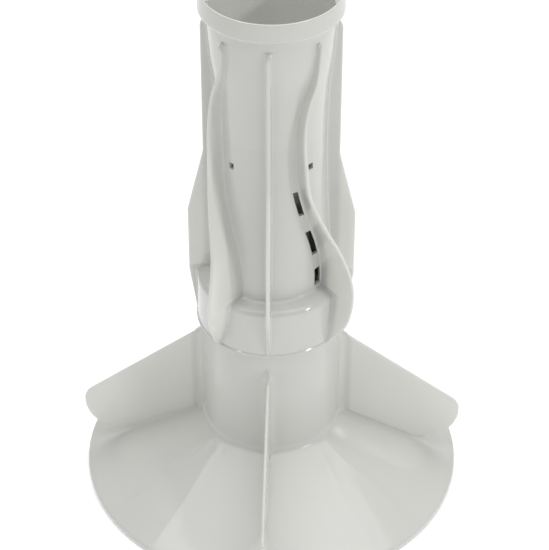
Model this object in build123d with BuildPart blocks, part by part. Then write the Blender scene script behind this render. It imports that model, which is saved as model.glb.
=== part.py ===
"""Washing-machine agitator: a skirted base, four flexible fins and a vaned barrel.

Millimetres, +Z up. The origin is the centre of the skirt's foot, on the drive axis,
and the front fin points along -Y.
"""
from build123d import *
from math import atan, atan2, cos, degrees, radians, sin, tan
import os

os.makedirs("parts", exist_ok=True)

# ---------------------------------------------------------------- driving dimensions
# Skirt: a shallow cone that stands on its edge.
skirt_radius = 165.0
skirt_edge_height = 5.0
skirt_edge_round = 2.0
skirt_root_height = 56.0
skirt_wall = 3.0

# Column: the wide tube that carries the fins and the barrel.
column_radius = 59.0
column_wall = 3.2
column_root_round = 7.0
seat_height = 205.0

# Tower: a narrow tube inside the barrel, with a wide head that centres and holds it.
tower_wall = 2.6
tower_top = 359.0
tower_body_radius = 34.0
head_foot = 316.0
head_flare = 8.0

# Hub: the inner tube round the drive sleeve, tied to the column by webs and a deck.
hub_wall = 5.0
hub_foot = 14.0
web_thickness = 3.0
web_foot = 20.0
deck_height = 104.0
deck_thickness = 5.0

# Fins: thin paddles, each turning in a keyhole groove of the column.
fin_count = 4
fin_thickness = 2.6
fin_overhang = 1.0
fin_root_top = 145.0
fin_tip_height = 67.0
fin_shoulder_radius = 14.0
fin_nose_radius = 31.0
fin_skirt_gap = 2.8
fin_swing = 8.0
bead_radius = 2.6
bead_depth = 3.0
bead_clearance = 0.05
socket_wall = 2.5
boss_top = 160.0
groove_rise = 5.5
neck_clearance = 0.2
end_clearance = 0.3

# Barrel: collar, tapered tube and rim.
total_height = 479.0
barrel_wall = 2.6
collar_wall = 3.1
collar_clearance = 0.6
collar_foot = 164.0
collar_lip = 1.0
collar_lip_height = 2.0
collar_round = 6.0
tube_foot_round = 5.0
shoulder_edge_rise = 4.5
shoulder_rise = 8.5
tube_foot_radius = 48.6
tube_waist_radius = 45.3
tube_waist_drop = 68.5
tube_flare_radius = 48.9
tube_flare_drop = 37.5
tube_top_radius = 51.7
tower_clearance = 0.4
rim_height = 16.5
rim_flare = 5.6
rim_bead = 5.0
rim_foot_round = 2.5
rim_bead_round = 8.0
rim_edge_round = 0.6
rim_wall = 1.4
rim_taper = 1.6
rim_floor = 3.0

# Straight ribs on the barrel, one above each fin.
rib_thickness = 3.4
rib_foot_depth = 0.3
rib_low_depth = 6.6
rib_high_depth = 3.8
rib_low_foot = 44.0
rib_flare_foot = 57.0
rib_flare_top = 115.0
rib_top_gap = 10.5
rib_top_round = 7.0

# S-shaped vanes on the barrel, one in each quarter.
vane_thickness = 3.0
vane_root_sink = 1.0
vane_top_gap = 11.0

# Slots beside each vane: share of the barrel's length, and slot length.
slot_width = 4.0
slot_gap = 0.6
slots = ((0.472, 24.0), (0.328, 26.0), (0.203, 18.0))

# Release windows in the barrel and the tower, with a snap hook below each.
window_width = 5.0
window_height = 6.0
window_drop = 23.0
window_angle = 47.0
release_height = 9.0
release_sink = 1.0
hook_drop = 9.0
hook_clearance = 0.4
hook_reach = 1.5
hook_cover = 1.1
finger_width = 10.0
finger_length = 26.0
finger_slit = 1.5
finger_top_gap = 5.0

# Drive sleeve, with a plain pilot below its spline.
sleeve_radius = 17.0
sleeve_clearance = 0.05
sleeve_roof = 6.0
pilot_radius = 14.2
pilot_length = 16.0
spline_root_radius = 13.9
spline_tip_radius = 12.7
spline_teeth = 24
spline_gap = 1.8

# Bolt, washer and seals.
bolt_radius = 4.0
bolt_clearance = 0.4
bolt_reach = 28.0
bolt_flange_radius = 9.0
bolt_flange_height = 1.5
bolt_head_flats = 13.0
bolt_head_height = 6.5
washer_radius = 13.0
washer_thickness = 2.0
bolt_seal_radius = 12.0
bolt_seal_thickness = 2.5
shaft_seal_lip = 2.0
shaft_seal_height = 8.0
shaft_seal_bore = 14.6

# Inner cap in the mouth of the tower.
cap_flange = 2.5
cap_plug_depth = 16.0
cap_plug_wall = 5.0
cap_clearance = 0.35
cap_ring_radius = 1.5
cap_ring_clearance = 0.05
cap_ring_drop = 7.0
cap_tab_width = 26.0
cap_tab_height = 14.0
cap_tab_thickness = 3.0
cap_tab_hole = 4.0

# ---------------------------------------------------------------- sizes that follow
column_bore = column_radius - column_wall
collar_bore = column_radius + collar_clearance
collar_radius = collar_bore + collar_wall
shoulder_height = seat_height + shoulder_rise
rim_foot = total_height - rim_height
tube_waist_height = rim_foot - tube_waist_drop
tube_flare_height = rim_foot - tube_flare_drop
rim_radius = tube_top_radius + rim_flare
rim_mouth_radius = rim_radius - rim_taper
barrel_length = rim_foot - collar_foot

hinge_radius = column_radius - bead_depth
socket_radius = bead_radius + bead_clearance
boss_radius = socket_radius + socket_wall
groove_foot = skirt_root_height + groove_rise
fin_reach = skirt_radius + fin_overhang
fin_angles = [-90.0 + 360.0 * i / fin_count for i in range(fin_count)]
fin_names = ("fin_front", "fin_right", "fin_back", "fin_left")

hub_bore = sleeve_radius + sleeve_clearance
hub_radius = hub_bore + hub_wall
sleeve_foot = hub_foot + shaft_seal_height
bolt_hole = bolt_radius + bolt_clearance
deck_top = deck_height + deck_thickness
washer_foot = deck_top + bolt_seal_thickness
bolt_head_foot = washer_foot + washer_thickness
window_height_at = tower_top - window_drop

skirt_slope = (skirt_root_height - skirt_edge_height) / (skirt_radius - column_radius)
skirt_drop = skirt_wall / cos(atan(skirt_slope))


def skirt_top(radius):
    """Height of the skirt's upper face at a radius."""
    return skirt_edge_height + skirt_slope * (skirt_radius - radius)


# Outline of the tube, as (radius, height): it tapers to a waist and flares out to the rim.
tube_line = (
    (tube_foot_radius, shoulder_height),
    (tube_waist_radius, tube_waist_height),
    (tube_flare_radius, tube_flare_height),
    (tube_top_radius, rim_foot),
)


def tube_radius(height):
    """Outer radius of the barrel's tube at a height."""
    for (low_radius, low), (high_radius, high) in zip(tube_line, tube_line[1:]):
        if height <= high:
            return low_radius + (high_radius - low_radius) * (height - low) / (high - low)
    return tube_top_radius


def tower_radius(height):
    """Outer radius of the tower's head, a clearance inside the barrel's bore."""
    return tube_radius(height) - barrel_wall - tower_clearance


# Vane stations: height, turn of the root and of the edge from the quarter line, reach.
vane_stations = (
    (collar_foot, 3.5, 3.5, collar_radius - 0.4),
    (collar_foot + 5.0, 5.0, 5.0, collar_radius + 4.3),
    (collar_foot + 13.0, 7.5, 7.5, collar_radius + 11.3),
    (collar_foot + 24.0, 10.5, 9.5, collar_radius + 17.0),
    (collar_foot + 0.12 * barrel_length, 13.5, 9.5, collar_radius + 20.5),
    (collar_foot + 0.16 * barrel_length, 16.0, 10.0, collar_radius + 22.1),
    (collar_foot + 0.22 * barrel_length, 17.5, 10.3, collar_radius + 21.0),
    (collar_foot + 0.27 * barrel_length, 15.0, 9.5, collar_radius + 17.1),
    (collar_foot + 0.33 * barrel_length, 9.5, 6.5, collar_radius + 11.0),
    (collar_foot + 0.40 * barrel_length, 0.5, 0.0, collar_radius + 4.7),
    (collar_foot + 0.46 * barrel_length, -6.0, -6.0, tube_top_radius + 11.2),
    (collar_foot + 0.52 * barrel_length, -11.0, -11.0, tube_top_radius + 7.7),
    (collar_foot + 0.60 * barrel_length, -13.3, -13.3, tube_top_radius + 6.4),
    (collar_foot + 0.69 * barrel_length, -14.5, -14.5, tube_top_radius + 5.3),
    (collar_foot + 0.75 * barrel_length, -13.0, -13.0, tube_top_radius + 4.2),
    (collar_foot + 0.80 * barrel_length, -9.3, -9.3, tube_top_radius + 3.7),
    (collar_foot + 0.86 * barrel_length, -2.0, -2.0, tube_top_radius + 3.6),
    (collar_foot + 0.91 * barrel_length, 0.6, 0.6, tube_top_radius + 3.7),
    (rim_foot - vane_top_gap, 1.8, 1.8, tube_top_radius + 3.8),
)


def vane_angle(height):
    """Angle of a vane's root from the quarter line, straight between stations."""
    for low, high in zip(vane_stations, vane_stations[1:]):
        if height <= high[0]:
            share = (height - low[0]) / (high[0] - low[0])
            return low[1] + (high[1] - low[1]) * share
    return vane_stations[-1][1]


def round_axis(radius, angle):
    """Point at a radius and an angle, as an (x, y) vector."""
    return Vector(radius * cos(radians(angle)), radius * sin(radians(angle)))


def upright_plane(angle):
    """Plane through the axis: local x points outwards at the angle, local y up."""
    outwards = (cos(radians(angle)), sin(radians(angle)), 0)
    return Plane(origin=(0, 0, 0), x_dir=outwards, z_dir=(outwards[1], -outwards[0], 0))


def facing_plane(angle, radius, height):
    """Plane square to a radius: local x runs anticlockwise round the axis, local y up."""
    outwards = (cos(radians(angle)), sin(radians(angle)), 0)
    origin = (radius * outwards[0], radius * outwards[1], height)
    return Plane(origin=origin, x_dir=(-outwards[1], outwards[0], 0), z_dir=outwards)


def corner_near(sketch, across, up):
    """The corner of an open sketch that is nearest a point in the sketch's own plane."""
    return sketch.vertices().sort_by_distance((across, up, 0))[0]


def finish(piece, name):
    """Label a finished piece and write it to its own file."""
    piece.part.label = name
    export_step(piece.part, f"parts/{name}.step")


# ---------------------------------------------------------------- base moulding
with BuildPart() as base_moulding:
    # Skirt, column and tower are one turned shell.
    with BuildSketch(Plane.XZ) as base_section:
        with BuildLine():
            Polyline(
                (skirt_radius - skirt_wall, 0),
                (skirt_radius, 0),
                (skirt_radius, skirt_edge_height),
                (column_radius, skirt_root_height),
                (column_radius, seat_height),
                (tower_body_radius, seat_height),
                (tower_body_radius, head_foot - head_flare),
                (tower_radius(head_foot), head_foot),
                (tower_radius(tower_top), tower_top),
                (tower_radius(tower_top) - tower_wall, tower_top),
                (tower_radius(head_foot) - tower_wall, head_foot + tower_wall / 2),
                (tower_body_radius - tower_wall, head_foot - head_flare + tower_wall / 2),
                (tower_body_radius - tower_wall, seat_height - column_wall),
                (column_bore, seat_height - column_wall),
                (column_bore, skirt_top(column_bore) - skirt_drop),
                (skirt_radius - skirt_wall, skirt_top(skirt_radius - skirt_wall) - skirt_drop),
                close=True,
            )
        make_face()
        fillet(corner_near(base_section, skirt_radius, skirt_edge_height), skirt_edge_round)
        fillet(corner_near(base_section, column_radius, skirt_root_height), column_root_round)
    revolve(axis=Axis.Z)

    # Deck, hub and webs inside the column.
    with BuildSketch(Plane.XY.offset(deck_height)):
        Circle(column_bore + column_wall / 2)
    extrude(amount=deck_thickness)
    with BuildSketch(Plane.XY.offset(hub_foot)):
        Circle(hub_radius)
    extrude(amount=deck_height - hub_foot)
    with BuildSketch(Plane.XY.offset(web_foot)):
        Rectangle(2 * (column_bore + column_wall / 2), web_thickness)
        Rectangle(web_thickness, 2 * (column_bore + column_wall / 2))
    extrude(amount=deck_height - web_foot)

    # A boss round each fin's hinge line, rooted in the skirt.
    boss_foot = skirt_top(column_radius) - skirt_wall
    with BuildSketch(Plane.XY.offset(boss_foot)):
        with PolarLocations(hinge_radius, fin_count, start_angle=fin_angles[0]):
            Circle(boss_radius)
    extrude(amount=boss_top - boss_foot)

    # The keyhole groove in each boss, open at the top so that the fin slides in.
    neck_half = fin_thickness / 2 / cos(radians(fin_swing)) + neck_clearance
    neck_length = boss_radius + 1.0
    mouth_half = neck_half + neck_length * tan(radians(fin_swing))
    with BuildSketch(Plane.XY.offset(groove_foot)):
        with PolarLocations(hinge_radius, fin_count, start_angle=fin_angles[0]):
            Circle(socket_radius)
            Polygon(
                (0, -neck_half),
                (neck_length, -mouth_half),
                (neck_length, mouth_half),
                (0, neck_half),
                align=None,
            )
    extrude(amount=seat_height - groove_foot, mode=Mode.SUBTRACT)

    # The hub's bore, its seal pocket, and the bolt hole in the deck.
    with BuildSketch(Plane.XY.offset(hub_foot)):
        Circle(hub_bore)
    extrude(amount=deck_height - hub_foot, mode=Mode.SUBTRACT)
    with BuildSketch(Plane.XY.offset(hub_foot)):
        Circle(hub_bore + shaft_seal_lip)
    extrude(amount=shaft_seal_height, mode=Mode.SUBTRACT)
    with BuildSketch(Plane.XY.offset(deck_height)):
        Circle(bolt_hole)
    extrude(amount=deck_thickness, mode=Mode.SUBTRACT)

    # Snap fingers: slits free each finger, a hook stands out of it, and a hole above the
    # hook lies behind the barrel's window.
    window_foot = window_height_at - window_height / 2
    finger_top = window_height_at + window_height / 2 + finger_top_gap
    hook_foot = window_foot - hook_drop + hook_clearance
    hook_top = window_foot - hook_drop + window_height - hook_clearance
    hook_face = tower_radius(window_height_at)
    for quarter in range(fin_count):
        angle = window_angle + quarter * 360.0 / fin_count
        with BuildSketch(facing_plane(angle, hook_face - 2 * tower_wall, finger_top - finger_length / 2)):
            with Locations((-finger_width / 2, 0), (finger_width / 2, 0)):
                Rectangle(finger_slit, finger_length)
            with Locations((0, finger_length / 2)):
                Rectangle(finger_width + finger_slit, finger_slit)
        extrude(amount=3 * tower_wall, mode=Mode.SUBTRACT)
        with BuildSketch(facing_plane(angle, hook_face - 2 * tower_wall, window_height_at - release_sink)):
            Rectangle(window_width, release_height)
        extrude(amount=3 * tower_wall, mode=Mode.SUBTRACT)
        with BuildSketch(upright_plane(angle)):
            with BuildLine():
                Polyline(
                    (hook_face - tower_wall / 2, hook_foot),
                    (hook_face + hook_reach, hook_foot),
                    (hook_face, hook_top),
                    (hook_face - tower_wall / 2, hook_top),
                    close=True,
                )
            make_face()
        extrude(amount=window_width / 2 - hook_clearance, both=True)
finish(base_moulding, "base_moulding")

# ---------------------------------------------------------------- fins
fin_heights = (skirt_top(hinge_radius) + fin_skirt_gap, skirt_top(fin_reach) + fin_skirt_gap)
top_slope = (fin_root_top - fin_tip_height) / (fin_reach - column_radius)
shoulder_turn = tan(radians(90.0 - degrees(atan(top_slope))) / 2)
nose_turn = tan(radians(90.0 + degrees(atan(skirt_slope))) / 2)
tip_length = fin_tip_height - fin_heights[1] - fin_shoulder_radius * shoulder_turn
nose_radius = min(fin_nose_radius, 0.98 * tip_length / nose_turn)
for name, angle in zip(fin_names, fin_angles):
    hinge_point = (hinge_radius * cos(radians(angle)), hinge_radius * sin(radians(angle)))
    with BuildPart() as fin:
        with BuildSketch(upright_plane(angle)) as paddle:
            with BuildLine():
                Polyline(
                    (hinge_radius, fin_heights[0]),
                    (fin_reach, fin_heights[1]),
                    (fin_reach, fin_tip_height),
                    (hinge_radius, fin_root_top + top_slope * bead_depth),
                    close=True,
                )
            make_face()
            fillet(corner_near(paddle, fin_reach, fin_heights[1]), nose_radius)
            fillet(corner_near(paddle, fin_reach, fin_tip_height), fin_shoulder_radius)
            with BuildLine():
                Polyline(
                    (0, 0),
                    (hinge_radius + boss_radius + 1.0, 0),
                    (hinge_radius + boss_radius + 1.0, groove_foot + end_clearance),
                    (0, groove_foot + end_clearance),
                    close=True,
                )
            make_face(mode=Mode.SUBTRACT)
        extrude(amount=fin_thickness / 2, both=True)
        with BuildSketch(Plane.XY.offset(groove_foot + end_clearance)):
            with Locations(hinge_point):
                Circle(bead_radius)
        extrude(amount=seat_height - groove_foot - 2 * end_clearance)
    finish(fin, name)

# ---------------------------------------------------------------- barrel
with BuildPart() as barrel:
    # The outside of the collar, the tube and the rim, solid for now.
    with BuildSketch(Plane.XZ) as barrel_section:
        with BuildLine():
            Polyline(
                (0, collar_foot),
                (collar_radius + collar_lip, collar_foot),
                (collar_radius + collar_lip, collar_foot + collar_lip_height),
                (collar_radius, collar_foot + collar_lip_height + collar_lip),
                (collar_radius, seat_height + shoulder_edge_rise),
                *tube_line,
                (rim_radius, rim_foot),
                (rim_radius, rim_foot + rim_bead),
                (rim_mouth_radius, total_height),
                (0, total_height),
                close=True,
            )
        make_face()
        fillet(corner_near(barrel_section, collar_radius, seat_height + shoulder_edge_rise), collar_round)
        fillet(corner_near(barrel_section, tube_foot_radius, shoulder_height), tube_foot_round)
        fillet(corner_near(barrel_section, rim_radius, rim_foot), rim_foot_round)
        fillet(corner_near(barrel_section, rim_radius, rim_foot + rim_bead), rim_bead_round)
        fillet(corner_near(barrel_section, rim_mouth_radius, total_height), rim_edge_round)
    revolve(axis=Axis.Z)

    # Straight ribs, in line with the fins.
    for angle in fin_angles:
        with BuildSketch(upright_plane(angle)) as rib:
            with BuildLine():
                Polyline(
                    (tube_waist_radius - vane_root_sink, collar_foot),
                    (collar_radius + rib_foot_depth, collar_foot),
                    (collar_radius + rib_low_depth, collar_foot + rib_low_foot),
                    (collar_radius + rib_low_depth, shoulder_height + rib_flare_foot),
                    (tube_top_radius + rib_high_depth, shoulder_height + rib_flare_top),
                    (tube_top_radius + rib_high_depth, rim_foot - rib_top_gap),
                    (tube_waist_radius - vane_root_sink, rim_foot - rib_top_gap),
                    close=True,
                )
            make_face()
            fillet(corner_near(rib, tube_top_radius + rib_high_depth, rim_foot - rib_top_gap), rib_top_round)
        extrude(amount=rib_thickness / 2, both=True)

    # Vanes, each lofted through thin sections from inside the wall to the vane's edge.
    for quarter in range(fin_count):
        quarter_line = 45.0 + quarter * 360.0 / fin_count
        with BuildPart(mode=Mode.PRIVATE) as vane:
            for height, root_turn, edge_turn, reach in vane_stations:
                face = collar_radius if height < seat_height else tube_radius(height)
                root = round_axis(face, quarter_line + root_turn)
                edge = round_axis(reach, quarter_line + edge_turn) if reach > face + 1.0 else root
                outwards = (edge - root) if reach > face + 1.0 else root
                sink = face - tube_radius(height) + vane_root_sink
                start = root - outwards.normalized() * sink
                with BuildSketch(Plane.XY.offset(height)):
                    with Locations((start + edge) / 2):
                        Rectangle(
                            (edge - start).length,
                            vane_thickness,
                            rotation=degrees(atan2(outwards.Y, outwards.X)),
                        )
            loft()
        add(vane.part)

    # The bore: collar, seat, tube and the socket in the rim.
    with BuildSketch(Plane.XZ):
        with BuildLine():
            Polyline(
                (0, collar_foot),
                (collar_bore, collar_foot),
                (collar_bore, seat_height),
                (tube_radius(seat_height) - barrel_wall, seat_height),
                (tube_waist_radius - barrel_wall, tube_waist_height),
                (tube_flare_radius - barrel_wall, tube_flare_height),
                (tube_top_radius - barrel_wall, rim_foot + rim_floor),
                (rim_mouth_radius - rim_wall, rim_foot + rim_floor),
                (rim_mouth_radius - rim_wall, total_height),
                (0, total_height),
                close=True,
            )
        make_face()
    revolve(axis=Axis.Z, mode=Mode.SUBTRACT)

    # Slots along the clockwise side of each vane, all cut in line with the rib before it.
    for quarter in range(fin_count):
        rib_angle = quarter * 360.0 / fin_count
        for share, length in slots:
            height = collar_foot + share * barrel_length
            ends = []
            for end in (height - length / 2, height + length / 2):
                radius = tube_radius(end)
                turn = radians(45.0 + vane_angle(end)) - (vane_thickness / 2 + slot_gap) / radius
                ends.append(radius * sin(turn) - slot_width / 2)
            tilt = degrees(atan((ends[1] - ends[0]) / length))
            with BuildSketch(facing_plane(rib_angle, collar_bore / 4, height)):
                with Locations(((ends[0] + ends[1]) / 2, 0)):
                    Rectangle(slot_width, length, rotation=-tilt)
            extrude(amount=collar_bore, mode=Mode.SUBTRACT)

        # The release window, and the blind pocket that the snap hook catches in.
        angle = window_angle + quarter * 360.0 / fin_count
        with BuildSketch(facing_plane(angle, tube_radius(window_height_at) - 2 * barrel_wall, window_height_at)):
            Rectangle(window_width, window_height)
        extrude(amount=3 * barrel_wall, mode=Mode.SUBTRACT)
        pocket_height = window_height_at - hook_drop
        pocket_foot = tube_radius(pocket_height) - 2 * barrel_wall
        with BuildSketch(facing_plane(angle, pocket_foot, pocket_height)):
            Rectangle(window_width, window_height)
        extrude(amount=2 * barrel_wall - hook_cover, mode=Mode.SUBTRACT)
finish(barrel, "barrel")

# ---------------------------------------------------------------- drive parts
with BuildPart() as drive_sleeve:
    with BuildSketch(Plane.XY.offset(sleeve_foot)):
        Circle(sleeve_radius)
    extrude(amount=deck_height - sleeve_foot)
    with BuildSketch(Plane.XY.offset(sleeve_foot)):
        Circle(pilot_radius)
    extrude(amount=pilot_length, mode=Mode.SUBTRACT)
    with BuildSketch(Plane.XY.offset(sleeve_foot + pilot_length)):
        Circle(spline_tip_radius)
        with PolarLocations((spline_root_radius + spline_tip_radius) / 2, spline_teeth):
            Rectangle(2 * (spline_root_radius - spline_tip_radius), spline_gap)
    extrude(amount=deck_height - sleeve_roof - sleeve_foot - pilot_length, mode=Mode.SUBTRACT)
    with BuildSketch(Plane.XY.offset(deck_height - sleeve_roof)):
        Circle(bolt_hole)
    extrude(amount=sleeve_roof, mode=Mode.SUBTRACT)
finish(drive_sleeve, "drive_sleeve")

with BuildPart() as shaft_seal:
    with BuildSketch(Plane.XY.offset(hub_foot)):
        Circle(hub_bore + shaft_seal_lip - sleeve_clearance)
        Circle(shaft_seal_bore, mode=Mode.SUBTRACT)
    extrude(amount=shaft_seal_height)
finish(shaft_seal, "shaft_seal")

with BuildPart() as bolt_seal:
    with BuildSketch(Plane.XY.offset(deck_top)):
        Circle(bolt_seal_radius)
        Circle(bolt_hole, mode=Mode.SUBTRACT)
    extrude(amount=bolt_seal_thickness)
finish(bolt_seal, "bolt_seal")

with BuildPart() as bolt_washer:
    with BuildSketch(Plane.XY.offset(washer_foot)):
        Circle(washer_radius)
        Circle(bolt_hole, mode=Mode.SUBTRACT)
    extrude(amount=washer_thickness)
finish(bolt_washer, "bolt_washer")

with BuildPart() as drive_bolt:
    with BuildSketch(Plane.XY.offset(deck_height - bolt_reach)):
        Circle(bolt_radius)
    extrude(amount=bolt_head_foot - deck_height + bolt_reach)
    with BuildSketch(Plane.XY.offset(bolt_head_foot)):
        Circle(bolt_flange_radius)
    extrude(amount=bolt_flange_height)
    with BuildSketch(Plane.XY.offset(bolt_head_foot + bolt_flange_height)):
        RegularPolygon(bolt_head_flats / 2, 6, major_radius=False)
    extrude(amount=bolt_head_height)
finish(drive_bolt, "drive_bolt")

# ---------------------------------------------------------------- inner cap and its ring
ring_height = tower_top - cap_ring_drop
plug_radius = tower_radius(tower_top) - tower_wall - cap_clearance
ring_radius = tower_radius(ring_height) - tower_wall - cap_ring_clearance - cap_ring_radius
with BuildPart() as inner_cap:
    with BuildSketch(Plane.XY.offset(tower_top - cap_plug_depth)):
        Circle(plug_radius)
        Circle(plug_radius - cap_plug_wall, mode=Mode.SUBTRACT)
    extrude(amount=cap_plug_depth)
    with BuildSketch(Plane.XY.offset(tower_top)):
        Circle(tower_radius(tower_top))
    extrude(amount=cap_flange)
    with BuildSketch(Plane.XY.offset(ring_height - cap_ring_radius - cap_ring_clearance)):
        Circle(plug_radius + 1.0)
        Circle(ring_radius - cap_ring_radius - cap_ring_clearance, mode=Mode.SUBTRACT)
    extrude(amount=2 * (cap_ring_radius + cap_ring_clearance), mode=Mode.SUBTRACT)
    # An upright pull tab with a finger hole.
    with BuildSketch(Plane.XZ.offset(-cap_tab_thickness / 2)) as tab:
        with Locations((0, tower_top + cap_flange + cap_tab_height / 2)):
            Rectangle(cap_tab_width, cap_tab_height)
        fillet(tab.vertices().group_by(Axis.Y)[-1], cap_tab_hole)
        with Locations((0, tower_top + cap_flange + cap_tab_height / 2)):
            SlotCenterToCenter(cap_tab_width / 3, 2 * cap_tab_hole, mode=Mode.SUBTRACT)
    extrude(amount=cap_tab_thickness)
finish(inner_cap, "inner_cap")

with BuildPart() as cap_ring:
    with BuildSketch(Plane.XZ):
        with Locations((ring_radius, ring_height)):
            Circle(cap_ring_radius)
    revolve(axis=Axis.Z)
finish(cap_ring, "cap_ring")
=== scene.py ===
"""A washing-machine agitator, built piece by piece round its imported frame.

The base moulding, the barrel and the four fins are surfaces worked out on grids, so that
every root, lip and edge has its real round. The drive parts keep their own meshes and get
their finishes here. Sizes are in millimetres, and meshes are written in metres.
"""
import logging
import math
from dataclasses import dataclass, field
from enum import Enum
from typing import Callable, Sequence

import bmesh
import bpy
import numpy as np
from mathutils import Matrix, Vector


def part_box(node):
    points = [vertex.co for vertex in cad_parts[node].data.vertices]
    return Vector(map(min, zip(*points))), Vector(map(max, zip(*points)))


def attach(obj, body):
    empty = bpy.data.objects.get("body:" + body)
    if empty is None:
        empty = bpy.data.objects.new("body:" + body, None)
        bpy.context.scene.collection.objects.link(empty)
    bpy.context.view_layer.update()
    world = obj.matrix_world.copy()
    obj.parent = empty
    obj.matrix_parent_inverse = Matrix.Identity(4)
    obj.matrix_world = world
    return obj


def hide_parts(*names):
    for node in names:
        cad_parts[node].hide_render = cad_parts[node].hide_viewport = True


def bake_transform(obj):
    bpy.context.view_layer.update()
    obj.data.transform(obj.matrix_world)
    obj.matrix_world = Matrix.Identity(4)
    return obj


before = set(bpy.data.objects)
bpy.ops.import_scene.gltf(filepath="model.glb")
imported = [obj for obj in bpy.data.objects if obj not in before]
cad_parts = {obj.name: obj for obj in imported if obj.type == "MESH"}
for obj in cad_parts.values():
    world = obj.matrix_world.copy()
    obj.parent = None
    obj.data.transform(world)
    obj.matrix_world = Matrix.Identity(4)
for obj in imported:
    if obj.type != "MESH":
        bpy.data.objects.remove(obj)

log = logging.getLogger("agitator")

MM = 0.001
QUARTERS = 4
QUARTER_TURN = 2.0 * math.pi / QUARTERS
FRONT = -math.pi / 2.0

Array = np.ndarray
Law = Callable[[Array], Array]
Point = tuple[float, float]


# ---------------------------------------------------------------- curves and profiles
def through(stations: Sequence[tuple[float, float]]) -> Law:
    """Smooth law through stations: cubic Hermite spans with tangents from the neighbours.

    Args:
        stations: Pairs of place and value, with the places rising.

    Returns:
        A function of an array of places that gives the values there, held past the ends.
    """
    places, values = np.array(stations, float).T
    slopes = np.gradient(values, places)

    def law(at: Array) -> Array:
        """Hermite blend of the two stations beside each place."""
        at = np.clip(at, places[0], places[-1])
        low = np.clip(np.searchsorted(places, at, side="right") - 1, 0, len(places) - 2)
        step = places[low + 1] - places[low]
        t = (at - places[low]) / step
        ease = t * t * (3.0 - 2.0 * t)
        lead = t * (1.0 - t) ** 2
        trail = t * t * (t - 1.0)
        return (
            values[low] * (1.0 - ease)
            + values[low + 1] * ease
            + step * (slopes[low] * lead + slopes[low + 1] * trail)
        )

    return law


def smoothstep(low: float, high: float, at: Array) -> Array:
    """Eased step from 0 at low to 1 at high."""
    t = np.clip((at - low) / (high - low), 0.0, 1.0)
    return t * t * (3.0 - 2.0 * t)


def rounded(points: Sequence[Point], rounds: Sequence[float], steps: int = 6) -> Array:
    """Open chain of straight runs whose inner corners are arcs of the given radii.

    Args:
        points: Corners as (radius, height).
        rounds: One radius for each corner, 0 for a sharp one or an end.
        steps: Points on each arc less one.

    Returns:
        The chain's points, one row each.
    """
    corners = np.array(points, float)
    chain = [corners[:1]]
    for before, corner, after, radius in zip(corners, corners[1:], corners[2:], rounds[1:]):
        if radius <= 0.0:
            chain.append(corner[None])
            continue
        back = (before - corner) / np.linalg.norm(before - corner)
        ahead = (after - corner) / np.linalg.norm(after - corner)
        half = math.acos(float(np.clip(back @ ahead, -1.0, 1.0))) / 2.0
        middle = corner + (back + ahead) / np.linalg.norm(back + ahead) * radius / math.sin(half)
        start = corner + back * radius / math.tan(half) - middle
        end = corner + ahead * radius / math.tan(half) - middle
        sweep = math.pi - 2.0 * half
        share = np.linspace(0.0, 1.0, steps + 1)[:, None]
        arc = (np.sin((1.0 - share) * sweep) * start + np.sin(share * sweep) * end) / math.sin(sweep)
        chain.append(middle + arc)
    chain.append(corners[-1:])
    return np.vstack(chain)


def spaced(chain: Array, spacing: float) -> Array:
    """The same chain with its long runs divided evenly, no step longer than the spacing."""
    lengths = np.linalg.norm(np.diff(chain, axis=0), axis=1)
    counts = np.maximum(np.ceil(lengths / spacing).astype(int), 1)
    runs = [
        start + (end - start) * np.linspace(0.0, 1.0, count, endpoint=False)[:, None]
        for start, end, count in zip(chain, chain[1:], counts)
    ]
    return np.vstack([*runs, chain[-1:]])


# ---------------------------------------------------------------- meshes
def mesh_object(name: str, points: Array, faces: Array | list, crease: float = 34.0) -> bpy.types.Object:
    """Mesh object at the origin, smooth shaded but for edges past the crease angle.

    Args:
        name: The piece's name.
        points: Vertices in millimetres.
        faces: Quads as an array, or polygons of any length as a list.
        crease: Angle in degrees past which an edge stays sharp.

    Returns:
        The linked object, with its faces pointing outwards.
    """
    mesh = bpy.data.meshes.new(name)
    mesh.from_pydata((points.reshape(-1, 3) * MM).tolist(), [], [tuple(f) for f in faces])
    work = bmesh.new()
    work.from_mesh(mesh)
    bmesh.ops.remove_doubles(work, verts=work.verts, dist=1e-7)
    bmesh.ops.dissolve_degenerate(work, edges=work.edges, dist=1e-7)
    bmesh.ops.recalc_face_normals(work, faces=work.faces)
    work.to_mesh(mesh)
    work.free()
    mesh.shade_smooth()
    mesh.set_sharp_from_angle(angle=math.radians(crease))
    obj = bpy.data.objects.new(name, mesh)
    bpy.context.scene.collection.objects.link(obj)
    return obj


def torus_quads(rows: int, columns: int) -> Array:
    """Quads of a grid of rows by columns that closes on itself both ways."""
    index = np.arange(rows * columns).reshape(rows, columns)
    below, beside = np.roll(index, -1, 0), np.roll(index, -1, 1)
    corner = np.roll(below, -1, 1)
    return np.stack([index, beside, corner, below], -1)


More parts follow.
